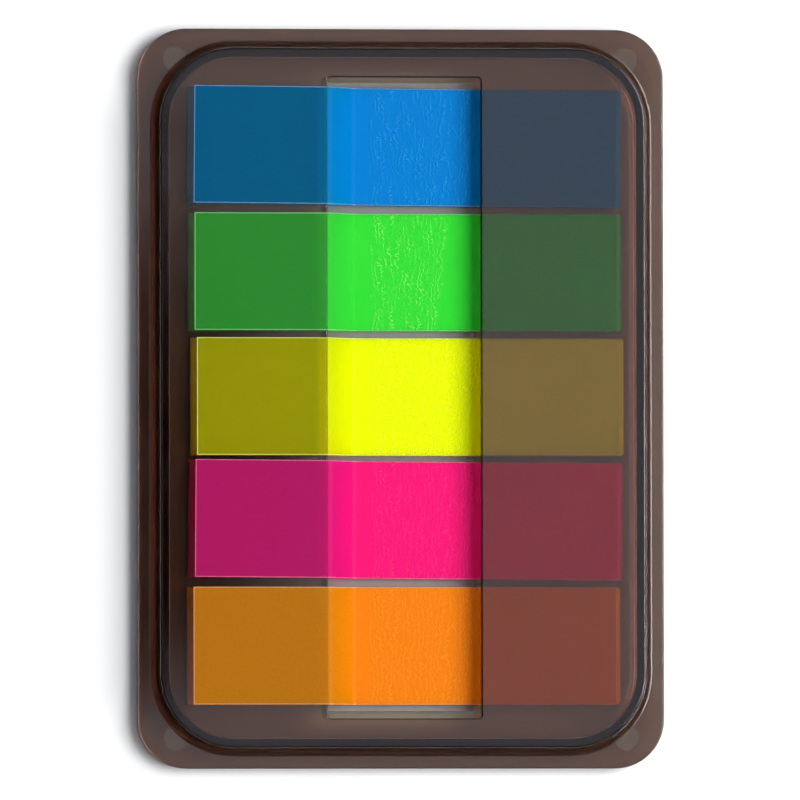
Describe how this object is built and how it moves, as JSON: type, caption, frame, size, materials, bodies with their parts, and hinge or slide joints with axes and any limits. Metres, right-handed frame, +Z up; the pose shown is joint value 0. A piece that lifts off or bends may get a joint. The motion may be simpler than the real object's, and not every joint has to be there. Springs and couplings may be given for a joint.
{
  "type": "sticky index tabs in a pop-up case",
  "caption": "Flat smoked plastic case holding pads of neon film index tabs side by side; the first tab of each pad rises through a central window and lies on the cover.",
  "frame": {"origin": "centre of the case's flat underside", "axes": "+X along the tabs towards the end still under the cover, +Y along the row of pads towards the blue one, +Z up out of the cover"},
  "size_m": [0.0536, 0.075, 0.005],
  "materials": {
    "smoked_base": "smoked, see-through, polished",
    "smoked_cover": "smoked, see-through, polished",
    "tape": "whitish double-sided tape",
    "pad_blue": "stack of satin film",
    "pad_green": "stack of satin film",
    "pad_yellow": "stack of satin film",
    "pad_pink": "stack of satin film",
    "pad_orange": "stack of satin film",
    "film_blue": "satin translucent film",
    "film_green": "satin translucent film",
    "film_yellow": "satin translucent film",
    "film_pink": "satin translucent film",
    "film_orange": "satin translucent film"
  },
  "bodies": {
    "root": {"base_plate": "smoked_base", "cover": "smoked_cover", "tape_strip": "tape", "pad_blue": "pad_blue", "pad_green": "pad_green", "pad_yellow": "pad_yellow", "pad_pink": "pad_pink", "pad_orange": "pad_orange", "tab_blue": "film_blue", "tab_green": "film_green", "tab_yellow": "film_yellow", "tab_pink": "film_pink", "tab_orange": "film_orange"}
  },
  "joints": []
}
